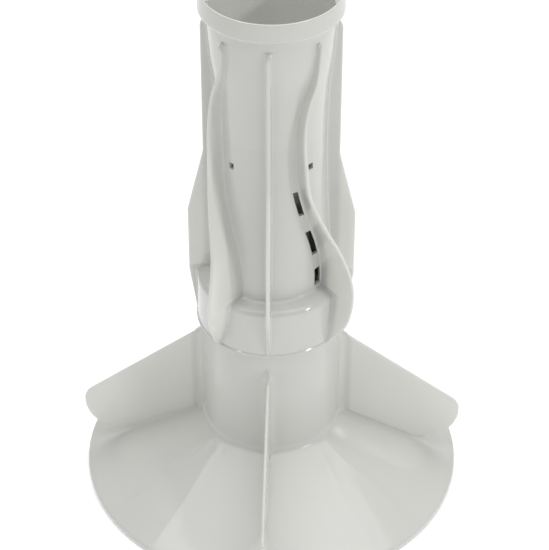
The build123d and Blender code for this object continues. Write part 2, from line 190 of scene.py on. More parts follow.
def cut_through(keep: Array, first: int, last: int, rows: Sequence[int], columns: Sequence[int]) -> Array:
    """Cut one opening through both skins of a wall and line it.

    The outer skin's rows run up from the first, and the inner skin's rows run up as their
    index falls from the last.

    Args:
        keep: Mask of the quads that stay, rows by columns, changed here.
        first: Row of the outer skin that the opening's rows are counted from.
        last: Row of the inner skin that lies behind the first.
        rows: The opening's first and last row.
        columns: The opening's first and last column.

    Returns:
        The quads of the opening's lining.
    """
    width = keep.shape[1]
    (low, high), (left, right) = rows, columns
    keep[first + low : first + high, left:right] = False
    keep[last - high : last - low, left:right] = False
    up, along = np.arange(low, high + 1), np.arange(left, right + 1)
    ring = [(low, c) for c in along[:-1]] + [(r, right) for r in up[:-1]]
    ring += [(high, c) for c in along[:0:-1]] + [(r, left) for r in up[:0:-1]]
    loop = np.array(ring)
    outside = (first + loop[:, 0]) * width + loop[:, 1] % width
    inside = (last - loop[:, 0]) * width + loop[:, 1] % width
    return np.stack([outside, np.roll(outside, -1), np.roll(inside, -1), inside], -1)


def turned_object(name: str, chain: Array, columns: int) -> bpy.types.Object:
    """Closed body of revolution from a closed section that stays off the axis.

    Args:
        name: The piece's name.
        chain: The section as (radius, height), carried round the axis.
        columns: Number of steps round the axis.

    Returns:
        The linked object.
    """
    angle = np.linspace(0.0, 2.0 * math.pi, columns, endpoint=False)
    radius, height = chain[:, :1], np.broadcast_to(chain[:, 1:], (len(chain), columns))
    grid = np.stack([radius * np.cos(angle), radius * np.sin(angle), height], -1)
    return mesh_object(name, grid, torus_quads(*grid.shape[:2]).reshape(-1, 4))


@dataclass(frozen=True)
class Fence:
    """A thin upright wall that stands out of a turned body.

    Its section is a root round, a flank, a tip round and a flat tip, mirrored about its
    middle. The laws take heights in millimetres. The middle runs straight from its turn on
    the foot circle to its edge's turn at the reach. Where the body's own radius passes the
    reach, the wall sinks into the body and its rounds shrink with it. An apron is a plain
    strip beside each root.
    """

    turn: Law
    reach: Law
    half: float
    root_round: float
    tip_round: float
    apron: Law
    edge_turn: Law | None = None
    foot_circle: float = 1.0
    far_apron: float = 3.0

    def aim(self, radius: Array, height: Array) -> tuple[Array, Array, Array]:
        """Where the middle stands on a body of the given radius.

        Args:
            radius: The body's radius at each row.
            height: The height of each row.

        Returns:
            Turn of the root, how far the wall stands proud, and its slant across per
            millimetre outwards, one value for each row.
        """
        root, reach = self.turn(height), self.reach(height)
        edge = root if self.edge_turn is None else self.edge_turn(height)
        share = np.clip((radius - self.foot_circle) / np.maximum(reach - self.foot_circle, 1.0), 0.0, 1.0)
        root = root + (edge - root) * share
        proud = np.maximum(reach * np.cos(edge - root) - radius, 0.0)
        slant = np.where(proud > 0.5, reach * np.sin(edge - root) / np.maximum(proud, 0.5), 0.0)
        return root, proud, slant

    def offsets(self, proud: Array, height: Array) -> tuple[Array, Array]:
        """Section of the wall at each row.

        Args:
            proud: How far the wall stands out of the body, one value for each row.
            height: Height of each row.

        Returns:
            Places across the wall and outwards, rows by columns, from one root to the other.
        """
        scale = np.clip(proud / (self.root_round + self.tip_round), 0.0, 1.0)[:, None]
        proud = proud[:, None]
        root, tip = self.root_round * scale, self.tip_round * scale
        sweep = np.linspace(0.0, math.pi / 2.0, 6)[None]
        climb = np.linspace(0.0, 1.0, 5)[None, 1:-1]
        one = np.ones_like(proud)
        across = np.hstack(
            [
                self.half + root * (1.0 - np.sin(sweep)),
                self.half * np.broadcast_to(one, (len(one), climb.shape[1])),
                self.half - tip + tip * np.cos(sweep),
                0.0 * one,
            ]
        )
        outwards = np.hstack(
            [
                root * (1.0 - np.cos(sweep)),
                root + (proud - root - tip) * climb,
                proud - tip + tip * np.sin(sweep),
                proud,
            ]
        )
        foot = self.half + self.root_round
        before, after = foot + self.apron(height)[:, None], (foot + self.far_apron) * one
        x = np.hstack([-before, -across, across[:, -2::-1], after])
        return x, np.hstack([0.0 * one, outwards, outwards[:, -2::-1], 0.0 * one])


@dataclass
class FencedBody:
    """A turned body with fences round it, as one grid of rows by columns.

    Columns run along the fences, and the plain stretches between them are divided in fixed
    shares, so a column keeps its place beside a fence all the way up.
    """

    fences: Sequence[Fence]
    shares: Sequence[Array]

    def columns(self, radius: Array, height: Array, proud: bool) -> Array:
        """Grid points on rows of the body.

        Args:
            radius: The body's radius at each row.
            height: The height of each row.
            proud: Whether the fences stand out, or only set the columns.

        Returns:
            Points, rows by columns by 3.
        """
        blocks = []
        for fence in self.fences:
            turn, stand, slant = fence.aim(radius, height)
            x, y = fence.offsets(stand if proud else 0.0 * stand, height)
            base = np.sqrt(np.maximum(radius[:, None] ** 2 - x**2, 0.0))
            x = x + slant[:, None] * y
            blocks.append((turn[:, None] + np.arctan2(x, base + y), np.hypot(x, base + y)))
        pieces = []
        for i, (bearing, far) in enumerate(blocks):
            after = blocks[(i + 1) % len(blocks)][0][:, 0] + (2.0 * math.pi if i == len(blocks) - 1 else 0.0)
            start = bearing[:, -1]
            gap = start[:, None] + (after - start)[:, None] * self.shares[i][None]
            pieces += [(bearing, far), (gap, np.broadcast_to(radius[:, None], gap.shape))]
        bearing = np.hstack([p[0] for p in pieces])
        far = np.hstack([p[1] for p in pieces])
        high = np.broadcast_to(height[:, None], far.shape)
        return np.stack([far * np.cos(bearing), far * np.sin(bearing), high], -1)

    def first_column(self, fence: int) -> int:
        """Index of a fence's first column."""
        return fence * self.fence_width() + sum(len(s) for s in self.shares[:fence])

    def fence_width(self) -> int:
        """Number of columns that one fence takes."""
        return self.fences[0].offsets(np.zeros(1), np.zeros(1))[0].shape[1]


def level(value: float) -> Law:
    """Law that gives the same value at every height."""

    def law(at: Array) -> Array:
        """The value, once for each height."""
        return np.full_like(at, value)

    return law


def turned_by(line: float, lean: Law) -> Law:
    """Law of a bearing: a fixed line plus a lean that changes with the height."""

    def law(at: Array) -> Array:
        """The bearing in radians."""
        return line + lean(at)

    return law


def in_radians(degrees: Law) -> Law:
    """The same law with its values turned from degrees to radians."""

    def law(at: Array) -> Array:
        """The angle in radians."""
        return np.radians(degrees(at))

    return law


# ---------------------------------------------------------------- shader graphs
Value = "Term | float"


@dataclass(frozen=True)
class Term:
    """A socket in a node graph that takes part in Python arithmetic."""

    graph: "Graph"
    socket: bpy.types.NodeSocket

    def __add__(self, other: Value) -> "Term":
        """Sum."""
        return self.graph.maths("ADD", self, other)

    def __radd__(self, other: Value) -> "Term":
        """Sum, number first."""
        return self.graph.maths("ADD", other, self)

    def __sub__(self, other: Value) -> "Term":
        """Difference."""
        return self.graph.maths("SUBTRACT", self, other)

    def __rsub__(self, other: Value) -> "Term":
        """Difference, number first."""
        return self.graph.maths("SUBTRACT", other, self)

    def __mul__(self, other: Value) -> "Term":
        """Product."""
        return self.graph.maths("MULTIPLY", self, other)

    def __rmul__(self, other: Value) -> "Term":
        """Product, number first."""
        return self.graph.maths("MULTIPLY", other, self)

    def __pow__(self, other: Value) -> "Term":
        """Power."""
        return self.graph.maths("POWER", self, other)


@dataclass
class Graph:
    """The node graph of one material."""

    name: str
    material: bpy.types.Material = field(init=False)
    shader: bpy.types.Node = field(init=False)

    def __post_init__(self) -> None:
        """Make the material and find its Principled shader."""
        self.material = bpy.data.materials.new(self.name)
        self.material.use_nodes = True
        self.shader = self.material.node_tree.nodes["Principled BSDF"]

    def node(self, kind: str, settings: dict | None = None, **inputs: object) -> bpy.types.Node:
        """Any node.

        Args:
            kind: The node's type name.
            settings: Attributes set before the inputs.
            inputs: Values or Terms by socket name, spaces written as underscores.

        Returns:
            The node.
        """
        node = self.material.node_tree.nodes.new(kind)
        for key, value in (settings or {}).items():
            setattr(node, key, value)
        for key, value in inputs.items():
            self.feed(node.inputs[key.replace("_", " ")], value)
        return node

    def feed(self, socket: bpy.types.NodeSocket, value: object) -> None:
        """Link a Term to a socket, or set the socket's own value."""
        if isinstance(value, Term):
            self.material.node_tree.links.new(value.socket, socket)
        else:
            socket.default_value = value

    def maths(self, operation: str, *values: object, clamp: bool = False) -> Term:
        """A Math node on numbers or Terms."""
        node = self.node("ShaderNodeMath", {"operation": operation, "use_clamp": clamp})
        for socket, value in zip(node.inputs, values):
            self.feed(socket, value)
        return Term(self, node.outputs[0])

    def place(self) -> Term:
        """The point on the piece, in metres."""
        return Term(self, self.node("ShaderNodeTexCoord").outputs["Object"])

    def heights(self) -> Term:
        """The point's height, in metres."""
        split = self.node("ShaderNodeSeparateXYZ", Vector=self.place())
        return Term(self, split.outputs["Z"])

    def off_axis(self) -> Term:
        """Distance from the drive axis, in metres."""
        split = self.node("ShaderNodeSeparateXYZ", Vector=self.place())
        x, y = Term(self, split.outputs["X"]), Term(self, split.outputs["Y"])
        return (x * x + y * y) ** 0.5

    def step(self, value: Term, low: float, high: float) -> Term:
        """Eased step of a value from 0 at low to 1 at high."""
        ranged = self.node(
            "ShaderNodeMapRange", {"interpolation_type": "SMOOTHSTEP"}, Value=value, From_Min=low, From_Max=high
        )
        return Term(self, ranged.outputs["Result"])

    def noise(self, scale: float, detail: float, stretch: Sequence[float] = (1.0, 1.0, 1.0)) -> Term:
        """Fractal noise from 0 to 1 with its middle at a half, stretched along the axes."""
        mapping = self.node("ShaderNodeMapping", Vector=self.place(), Scale=tuple(stretch))
        made = self.node(
            "ShaderNodeTexNoise", Vector=Term(self, mapping.outputs[0]), Scale=scale, Detail=detail, Roughness=0.55
        )
        return Term(self, made.outputs["Fac"])

    def blend(self, share: object, first: object, second: object) -> Term:
        """Colour mixed from the first to the second by a share."""
        node = self.node("ShaderNodeMix", {"data_type": "RGBA"})
        for socket, value in zip((node.inputs[0], node.inputs[6], node.inputs[7]), (share, first, second)):
            self.feed(socket, value)
        return Term(self, node.outputs[2])

    def bump(self, height: Term, distance: float, strength: float, below: Term | None = None) -> Term:
        """Normal pushed about by a height, on top of another normal if one is given."""
        inputs: dict[str, object] = {"Height": height, "Distance": distance, "Strength": strength}
        if below is not None:
            inputs["Normal"] = below
        return Term(self, self.node("ShaderNodeBump", **inputs).outputs[0])

    def set(self, **inputs: object) -> None:
        """Set or link the shader's own sockets, spaces written as underscores."""
        for key, value in inputs.items():
            self.feed(self.shader.inputs[key.replace("_", " ")], value)


class Tone(Enum):
    """Linear colours of the mouldings and the fittings."""

    WARM_WHITE = (0.745, 0.742, 0.70, 1.0)
    COOL_WHITE = (0.725, 0.729, 0.704, 1.0)
    # Painted light: a brighter white painted on thin fins and vanes for light that passes through them.
    LIT_THROUGH_WHITE = (0.86, 0.857, 0.815, 1.0)
    SOFT_GREY = (0.50, 0.505, 0.48, 1.0)
    DARK_NYLON = (0.018, 0.018, 0.02, 1.0)
    WORN_NYLON = (0.05, 0.05, 0.052, 1.0)
    BLACK_RUBBER = (0.012, 0.012, 0.012, 1.0)
    DUSTY_RUBBER = (0.035, 0.034, 0.032, 1.0)
    ZINC = (0.60, 0.60, 0.57, 1.0)
    DULL_ZINC = (0.38, 0.38, 0.36, 1.0)


@dataclass(frozen=True)
class GlossPlastic:
    """White polypropylene as it leaves a polished mould.

    The tone drifts slowly over the piece, with faint upright drag marks from the mould. The
    skin has a fine orange peel, and its gloss changes a little from place to place. Where
    another moulding stands right behind the wall, painted shade makes the plastic a shade
    cooler and darker, and where the wall is a thin fin or vane, painted light makes it a shade
    brighter, for light that passes through it.
    """

    name: str
    tone: Tone = Tone.WARM_WHITE
    roughness: float = 0.24
    tower_shade_below: float | None = None
    lit_through_beyond: float | None = None
    narrows_at: float = 1.0
    narrows_by: float = 0.0115
    widens_at: float = 2.0

    def make(self) -> bpy.types.Material:
        """The finished material."""
        graph = Graph(self.name)
        drift = graph.noise(7.0, 3.0)
        drag = graph.noise(90.0, 2.0, (1.0, 1.0, 0.05))
        speck = graph.noise(260.0, 2.0)
        shade = graph.maths("MULTIPLY_ADD", drift, 0.7, drag * 0.22 - 0.01, clamp=True)
        colour = graph.blend(shade, Tone.COOL_WHITE.value, self.tone.value)
        # Painted shade: below the top of the tower behind it, the wall is painted a darker, cooler white for the
        # tower's shade seen through the thin plastic.
        if self.tower_shade_below is not None:
            above = graph.step(graph.heights(), self.tower_shade_below - 0.0015, self.tower_shade_below + 0.0015)
            tower_shade_tone = tuple(c * k for c, k in zip(Tone.COOL_WHITE.value, (0.965, 0.98, 0.972, 1.0)))
            colour = graph.blend(0.55 - above * 0.55, colour, tower_shade_tone)
        # Painted light: out on the thin fins and vanes the colour is blended towards a brighter white for light that
        # passes through the plastic.
        if self.lit_through_beyond is not None:
            narrow = graph.step(graph.heights(), self.narrows_at, self.narrows_at + 0.004)
            wide = graph.step(graph.heights(), self.widens_at, self.widens_at + 0.004)
            reach = graph.off_axis() + narrow * (1.0 - wide) * self.narrows_by
            lit_through_share = graph.step(reach, self.lit_through_beyond, self.lit_through_beyond + 0.006)
            colour = graph.blend(lit_through_share, colour, Tone.LIT_THROUGH_WHITE.value)
        peel = graph.bump(speck, 0.00003, 0.12)
        sway = graph.bump(graph.noise(34.0, 1.0), 0.0004, 0.12, peel)
        graph.set(
            Base_Color=colour,
            Roughness=self.roughness + (drift - 0.5) * 0.12 + (speck - 0.5) * 0.05,
            Coat_Weight=0.45 + (drag - 0.5) * 0.2,
            Normal=sway,
            IOR=1.5,
            Coat_Roughness=0.04,
        )
        return graph.material


@dataclass(frozen=True)
class Moulded:
    """Nylon, satin plastic or rubber: a matt skin with a fine grain and rubbed high spots."""

    name: str
    tone: Tone
    rubbed: Tone
    roughness: float
    grain: float = 600.0

    def make(self) -> bpy.types.Material:
        """The finished material."""
        graph = Graph(self.name)
        grain = graph.noise(self.grain, 5.0)
        rub = graph.step(graph.noise(45.0, 4.0), 0.45, 0.75)
        graph.set(
            Base_Color=graph.blend(rub * 0.6, self.tone.value, self.rubbed.value),
            Roughness=self.roughness + (grain - 0.5) * 0.15 - rub * 0.08,
            Normal=graph.bump(grain, 0.0001, 0.35),
        )
        return graph.material


@dataclass(frozen=True)
class ZincPlate:
    """Zinc-plated steel: turned rings under a dull, clouded plating."""

    name: str

    def make(self) -> bpy.types.Material:
        """The finished material."""
        graph = Graph(self.name)
        cloud = graph.noise(160.0, 5.0)
        rings = graph.maths("SINE", graph.off_axis() * 9000.0)
        graph.set(
            Base_Color=graph.blend(cloud, Tone.DULL_ZINC.value, Tone.ZINC.value),
            Metallic=1.0,
            Roughness=0.28 + cloud * 0.2,
            Normal=graph.bump(rings, 0.00003, 0.3),
        )
        return graph.material


def dress(obj: bpy.types.Object, material: bpy.types.Material, body: str, slot: str, *nodes: str) -> None:
    """Give a new piece its finish and its body, and hide the CAD nodes that it stands for.

    Args:
        obj: The piece.
        material: Its finish.
        body: The body that it rides on.
        slot: Not used.
        nodes: The CAD nodes that it stands for.
    """
    obj.data.materials.clear()
    obj.data.materials.append(material)
    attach(obj, body)
    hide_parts(*nodes)


# ---------------------------------------------------------------- base moulding
@dataclass
class BaseMoulding:
    """Skirt, column, tower and drive hub, with the swept roots of the four fins."""

    skirt_radius: float
    seat_height: float = 205.0
    skirt_edge: float = 5.0
    skirt_root: float = 56.0
    skirt_wall: float = 3.0
    column_radius: float = 59.0
    column_wall: float = 3.2
    root_round: float = 7.0
    tower_radius: float = 34.0
    tower_wall: float = 2.6
    head_radius: float = 42.9
    head_foot: float = 316.0
    head_flare: float = 8.0
    tower_top: float = 359.0
    stub_reach: float = 66.7
    stub_sweep: float = 7.4
    stub_half: float = 1.34
    stub_top: float = 140.5
    stub_crown: float = 9.0
    deck_foot: float = 104.0
    deck_thickness: float = 5.0
    bolt_hole: float = 4.4
    hub_radius: float = 22.05
    hub_bore: float = 17.05
    hub_foot: float = 14.0
    seal_pocket: float = 19.05
    seal_depth: float = 8.0
    web_half: float = 1.5
    web_foot: float = 20.0
    ridge_turn: float = math.radians(36.0)
    panel_depth: float = 0.9
    ridge_height: float = 0.35
    release_foot: float = 330.5
    release_top: float = 339.5
    release_half: float = 2.5
    release_turn: float = math.radians(47.0)

    def skirt_top(self, radius: Array) -> Array:
        """Height of the plain cone at a radius."""
        slope = (self.skirt_root - self.skirt_edge) / (self.skirt_radius - self.column_radius)
        return self.skirt_edge + slope * (self.skirt_radius - radius)

    def stub_law(self, height: Array) -> Array:
        """Reach of a fin's swept root: level, then a hollow curve back into the column."""
        share = np.clip((height - self.stub_top) / self.stub_crown, 0.0, 1.0)
        return self.column_radius + (self.stub_reach - self.column_radius) * (1.0 - share) ** 2

    def swell(self, bearing: Array, radius: Array) -> Array:
        """Rise of the skirt over its cone: a shallow panel each side of every fin.

        A panel lies between a raised strip along the fin's foot and a soft ridge, and
        fades out near the column and the edge.
        """
        aside = np.abs((bearing - FRONT + QUARTER_TURN / 2.0) % QUARTER_TURN - QUARTER_TURN / 2.0)
        strip = smoothstep(3.2, 6.5, aside * radius)
        ridge = self.ridge_turn + math.radians(3.5) * (1.0 - smoothstep(68.0, 120.0, radius))
        inside = 1.0 - smoothstep(-0.075, 0.015, aside - ridge)
        crest = np.exp(-(((aside - ridge) * radius / 3.2) ** 2))
        fade = smoothstep(62.0, 74.0, radius) * (1.0 - smoothstep(0.90, 0.985, radius / self.skirt_radius))
        return fade * (self.ridge_height * crest - self.panel_depth * strip * inside)

    def outer_rows(self) -> Array:
        """Outer section from the skirt's foot to the seat's inner edge, as (radius, height)."""
        chain = rounded(
            [
                (self.skirt_radius - self.skirt_wall, 0.0),
                (self.skirt_radius, 0.0),
                (self.skirt_radius, self.skirt_edge),
                (self.column_radius, self.skirt_root),
                (self.column_radius, self.seat_height),
                (self.tower_radius, self.seat_height),
            ],
            [0.0, 0.5, 2.2, self.root_round, 1.0, 1.5],
            steps=8,
        )
        return spaced(chain, 3.0)

    def inner_rows(self) -> Array:
        """Tower and inner walls from the seat round to the skirt's foot."""
        drop = self.skirt_wall * 1.12
        bore = self.column_radius - self.column_wall
        chain = rounded(
            [
                (self.tower_radius, self.seat_height + 2.0),
                (self.tower_radius, self.head_foot - self.head_flare),
                (self.head_radius, self.head_foot),
                (self.head_radius, self.release_foot),
                (self.head_radius, self.release_top),
                (self.head_radius, self.tower_top),
                (self.head_radius - self.tower_wall, self.tower_top),
                (self.head_radius - self.tower_wall, self.release_top),
                (self.head_radius - self.tower_wall, self.release_foot),
                (self.head_radius - self.tower_wall, self.head_foot),
                (self.tower_radius - self.tower_wall, self.head_foot - self.head_flare),
                (self.tower_radius - self.tower_wall, self.seat_height - self.column_wall),
                (bore, self.seat_height - self.column_wall),
                (bore, float(self.skirt_top(bore)) - drop),
                (self.skirt_radius - self.skirt_wall - 0.2, float(self.skirt_top(self.skirt_radius - 3.0)) - drop),
                (self.skirt_radius - self.skirt_wall, 0.6),
            ],
            [0.0, 3.0, 3.0, 0.0, 0.0, 0.6, 0.6, 0.0, 0.0, 2.0, 2.0, 1.0, 1.5, 5.0, 1.0, 0.0],
            steps=4,
        )
        return spaced(chain, 12.0)

    @staticmethod
    def nearest_row(section: Array, spot: Point) -> int:
        """Index of the section's point that lies nearest to a (radius, height) spot."""
        return int(np.argmin(np.linalg.norm(section - np.array(spot), axis=1)))

    def shell(self) -> bpy.types.Object:
        """Skirt, column and tower as one closed grid with the fins' roots swept out of it."""
        fences = [
            Fence(
                turn=level(FRONT + quarter * QUARTER_TURN),
                reach=self.stub_law,
                half=self.stub_half,
                root_round=self.stub_sweep,
                tip_round=0.25,
                apron=level(3.0),
            )
            for quarter in range(QUARTERS)
        ]
        body = FencedBody(fences, [np.linspace(0.0, 1.0, 58)[1:-1]] * QUARTERS)
        outer, inner = self.outer_rows(), self.inner_rows()
        outside = body.columns(outer[:, 0], outer[:, 1], proud=True)
        radius = np.hypot(outside[..., 0], outside[..., 1])
        bearing = np.arctan2(outside[..., 1], outside[..., 0])
        on_cone = (outer[:, 1] > self.skirt_edge - 0.5) & (outer[:, 1] < self.skirt_root)
        outside[..., 2] += on_cone[:, None] * self.swell(bearing, radius)
        inside = body.columns(inner[:, 0], inner[:, 1], proud=False)
        grid = np.concatenate([outside, inside])
        quads = torus_quads(*grid.shape[:2])
        keep = np.ones(quads.shape[:2], bool)
        skins = (self.head_radius, self.head_radius - self.tower_wall)
        first, last = (self.nearest_row(inner, (skin, self.release_foot)) for skin in skins)
        bearing = np.unwrap(np.arctan2(inside[first, :, 1], inside[first, :, 0]))
        first, last = first + len(outer), last + len(outer)
        half = self.release_half / self.head_radius
        linings = []
        for quarter in range(QUARTERS):
            middle = FRONT + self.release_turn + quarter * QUARTER_TURN
            ends = [int(np.argmin(np.abs(bearing - side))) for side in (middle - half, middle + half)]
            linings.append(cut_through(keep, first, last, (0, 1), ends))
        return mesh_object("base_shell", grid, np.vstack([quads[keep], *linings]), crease=40.0)

    def hub(self) -> bpy.types.Object:
        """Tube round the drive sleeve, with the seal's pocket in its foot."""
        top = self.deck_foot + 0.5
        chain = rounded(
            [
                (self.hub_bore, top),
                (self.hub_bore, self.hub_foot + self.seal_depth),
                (self.seal_pocket, self.hub_foot + self.seal_depth),
                (self.seal_pocket, self.hub_foot),
                (self.hub_radius, self.hub_foot),
                (self.hub_radius, top),
            ],
            [0.0, 0.3, 0.3, 0.5, 0.8, 0.0],
            steps=3,
        )
        return turned_object("base_hub", spaced(chain, 20.0), 96)

    def deck(self) -> bpy.types.Object:
        """Floor across the column, with the bolt's hole."""
        edge = self.column_radius - self.column_wall / 2.0
        top = self.deck_foot + self.deck_thickness
        chain = rounded(
            [
                (self.bolt_hole, self.deck_foot + 1.0),
                (self.bolt_hole, top),
                (edge, top),
                (edge, self.deck_foot),
                (self.bolt_hole, self.deck_foot),
                (self.bolt_hole, self.deck_foot + 0.5),
            ],
            [0.0, 0.4, 0.0, 0.0, 0.4, 0.0],
            steps=3,
        )
        return turned_object("base_deck", spaced(chain, 12.0), 96)

    def web(self, quarter: int) -> bpy.types.Object:
        """One upright web from the hub to the column, its foot rounded like a bead."""
        start, end = self.hub_radius - 1.0, self.column_radius - self.column_wall + 0.8
        reach = np.linspace(start, end, 8)
        sweep = np.linspace(-math.pi, 0.0, 9)
        across = np.concatenate([self.web_half * np.cos(sweep), [self.web_half, -self.web_half]])
        foot = self.web_foot + self.web_half
        high = np.concatenate([foot + self.web_half * np.sin(sweep), [self.deck_foot + 0.5] * 2])
        bearing = FRONT + quarter * QUARTER_TURN
        out = np.array([math.cos(bearing), math.sin(bearing), 0.0])
        side = np.array([-math.sin(bearing), math.cos(bearing), 0.0])
        up = np.array([0.0, 0.0, 1.0])
        grid = reach[:, None, None] * out + across[None, :, None] * side + high[None, :, None] * up
        rows, columns = grid.shape[:2]
        quads = torus_quads(rows, columns)[:-1].reshape(-1, 4)
        caps = [list(range(columns)), list(range((rows - 1) * columns, rows * columns))]
        return mesh_object(f"base_web_{quarter}", grid, [*quads.tolist(), *caps])

    def build(self, plastic: bpy.types.Material) -> None:
        """Make every piece of the moulding and report it."""
        made = [self.shell(), self.hub(), self.deck()]
        made += [self.web(quarter) for quarter in range(QUARTERS)]
        for piece in made:
            dress(piece, plastic, "base", "base_plastic", "base_moulding")
            log.info("%s: %d faces", piece.name, len(piece.data.polygons))


# ---------------------------------------------------------------- fins
@dataclass
class Fin:
    """A thin paddle, flexible on the real agitator, whose root is buried in the column's swept stub."""

    node: str
    body: str
    bearing: float
    reach: float
    root: float = 60.5
    root_foot: float = 57.8
    root_top: float = 144.2
    tip_foot: float = 7.3
    tip_top: float = 67.0
    nose_round: float = 31.0
    shoulder_round: float = 14.0
    half_root: float = 1.22
    half_tip: float = 1.0
    edge: float = 0.95
    bend_start: float = 65.5
    bend_end: float = 88.0

    def outline(self) -> Array:
        """Closed outline in the paddle's plane, as (distance from the axis, height)."""
        chain = rounded(
            [
                (self.root, (self.root_foot + self.root_top) / 2.0),
                (self.root, self.root_foot),
                (self.reach, self.tip_foot),
                (self.reach, self.tip_top),
                (self.root, self.root_top),
                (self.root, (self.root_foot + self.root_top) / 2.0),
            ],
            [0.0, 0.0, self.nose_round, self.shoulder_round, 0.0, 0.0],
            steps=40,
        )
        return spaced(chain, 2.0)[:-1]

    def sheet(self, outline: Array) -> tuple[Array, Array]:
        """Flat grid that fills the outline.

        Places outwards crowd towards the tip, and places upwards crowd towards both edges,
        so that the rounded edge has its own rows.

        Returns:
            Distances from the axis and heights, rows by columns.
        """
        near = np.array([0.0, 0.03, 0.12, 0.28, 0.5, 0.75, 1.0]) * self.edge
        run = self.reach - self.root
        middle = np.linspace(0.0, 1.0, 40)[1:-1]
        out = self.root + np.concatenate([near, near[-1] + (run - 2 * near[-1]) * middle, run - near[::-1]])
        turn = np.argmax(outline[:, 0])
        low, high = outline[: turn + 1], outline[turn:]
        order = np.argsort(low[:, 0], kind="stable")
        foot = np.interp(out, low[order, 0], low[order, 1])
        order = np.argsort(high[:, 0], kind="stable")
        top = np.interp(out, high[order, 0], high[order, 1])
        tall = np.maximum(top - foot, 0.0)[:, None]
        margin = np.minimum(near[None], tall / 2.0)
        inner = margin[:, -1:] + (tall - 2.0 * margin[:, -1:]) * np.linspace(0.0, 1.0, 26)[None, 1:-1]
        rise = np.hstack([margin, inner, tall - margin[:, ::-1]])
        return np.broadcast_to(out[:, None], rise.shape), foot[:, None] + rise

    def build(self, plastic: bpy.types.Material) -> bpy.types.Object:
        """The paddle: its half thickness grows from 0 at the edge as a quarter circle."""
        outline = self.outline()
        out, high = self.sheet(outline)
        start = outline[None, None]
        along = np.roll(outline, -1, 0)[None, None] - start
        spot = np.stack([out, high], -1)[:, :, None]
        share = np.clip(((spot - start) * along).sum(-1) / np.maximum((along**2).sum(-1), 1e-9), 0.0, 1.0)
        inset = np.linalg.norm(start + along * share[..., None] - spot, axis=-1).min(-1)
        taper = self.half_root + (self.half_tip - self.half_root) * (out - self.root) / (self.reach - self.root)
        half = taper * np.sqrt(1.0 - (1.0 - np.clip(inset / self.edge, 0.0, 1.0)) ** 2)
        rows, columns = out.shape
        index = np.arange(rows * columns).reshape(rows, columns)
        quads = np.stack([index[:-1, :-1], index[1:, :-1], index[1:, 1:], index[:-1, 1:]], -1).reshape(-1, 4)
        forward = np.array([math.cos(self.bearing), math.sin(self.bearing), 0.0])
        side = np.array([-math.sin(self.bearing), math.cos(self.bearing), 0.0])
        up = np.array([0.0, 0.0, 1.0])
        flat = out[..., None] * forward + high[..., None] * up
        faces = np.vstack([quads, quads[:, ::-1] + rows * columns])
        skin = half[..., None] * side
        obj = mesh_object(self.node + "_paddle", np.stack([flat + skin, flat - skin]), faces, crease=60.0)
        obj.data.materials.append(plastic)
        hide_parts(self.node)
        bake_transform(obj)
        log.info("%s: %d faces", obj.name, len(obj.data.polygons))
        return obj


